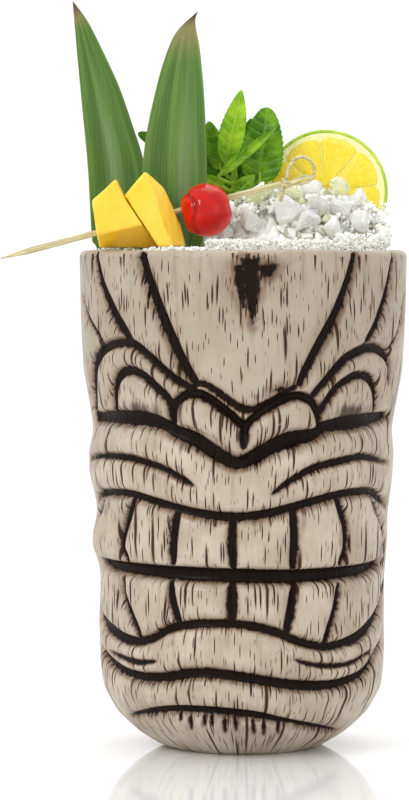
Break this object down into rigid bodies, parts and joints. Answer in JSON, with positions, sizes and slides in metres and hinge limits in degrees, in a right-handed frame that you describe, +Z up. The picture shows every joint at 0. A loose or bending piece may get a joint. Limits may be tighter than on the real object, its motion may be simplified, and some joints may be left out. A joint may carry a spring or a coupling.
{
  "type": "tiki mug",
  "caption": "Carved ceramic cocktail mug with a face, filled with lift-out crushed ice, pineapple leaves, mint, a lime slice and a fruit pick.",
  "frame": {"origin": "centre of the foot, on the surface the mug stands on", "axes": "+Z up through the mouth, the carved face looks along -Y, +X to the right of the face as seen from the front"},
  "size_m": [0.1083, 0.088, 0.201],
  "materials": {
    "glazed_clay": "satin",
    "ice": "gloss",
    "pineapple_leaf": "satin",
    "mint": "satin",
    "lime_rind": "satin",
    "lime_pith": "matte",
    "lime_flesh": "gloss",
    "bamboo": "satin",
    "mango": "satin",
    "cherry_skin": "gloss"
  },
  "bodies": {
    "mug": {"mug_body": "glazed_clay"},
    "ice": {"ice_bed": "ice", "ice_mound": "ice", "ice_chunks_left": "ice", "ice_chunks_middle": "ice", "ice_chunks_right": "ice", "ice_crumbs_front": "ice", "ice_crumbs_back": "ice"},
    "leaf_left": {"pineapple_leaf_left": "pineapple_leaf"},
    "leaf_right": {"pineapple_leaf_right": "pineapple_leaf"},
    "mint_sprig": {"mint_stem": "mint", "mint_leaf_tall": "mint", "mint_leaf_broad": "mint", "mint_leaf_narrow": "mint", "mint_leaf_side": "mint", "mint_leaf_low": "mint", "mint_leaf_spur": "mint", "mint_leaf_shaded": "mint", "mint_leaf_inner": "mint", "mint_leaf_back": "mint"},
    "lime_slice": {"lime_rind": "lime_rind", "lime_pith": "lime_pith", "lime_segments": "lime_flesh"},
    "pick": {"bamboo_pick": "bamboo"},
    "fruit_outer": {"fruit_chunk_outer": "mango"},
    "fruit_inner": {"fruit_chunk_inner": "mango"},
    "cherry": {"cherry": "cherry_skin"}
  },
  "joints": [
    {"name": "ice_lift", "type": "slide", "parent": "mug", "child": "ice", "axis": [0, 0, 1], "range_m": [0, 0.05]},
    {"name": "leaf_left_lift", "type": "slide", "parent": "ice", "child": "leaf_left", "axis": [0, 0, 1], "range_m": [0, 0.03]},
    {"name": "leaf_right_lift", "type": "slide", "parent": "ice", "child": "leaf_right", "axis": [0, 0, 1], "range_m": [0, 0.03]},
    {"name": "mint_lift", "type": "slide", "parent": "ice", "child": "mint_sprig", "axis": [0, 0, 1], "range_m": [0, 0.042]},
    {"name": "lime_lift", "type": "slide", "parent": "ice", "child": "lime_slice", "axis": [0, 0, 1], "range_m": [0, 0.025]},
    {"name": "pick_lift", "type": "slide", "parent": "ice", "child": "pick", "axis": [0, 0, 1], "range_m": [0, 0.03]},
    {"name": "fruit_outer_slide", "type": "slide", "parent": "pick", "child": "fruit_outer", "axis": [0.9664, 0, 0.2571], "range_m": [0, 0.003]},
    {"name": "fruit_inner_slide", "type": "slide", "parent": "fruit_outer", "child": "fruit_inner", "axis": [0.9664, 0, 0.2571], "range_m": [0, 0.003]},
    {"name": "cherry_slide", "type": "slide", "parent": "fruit_inner", "child": "cherry", "axis": [0.9664, 0, 0.2571], "range_m": [0, 0.004]}
  ]
}
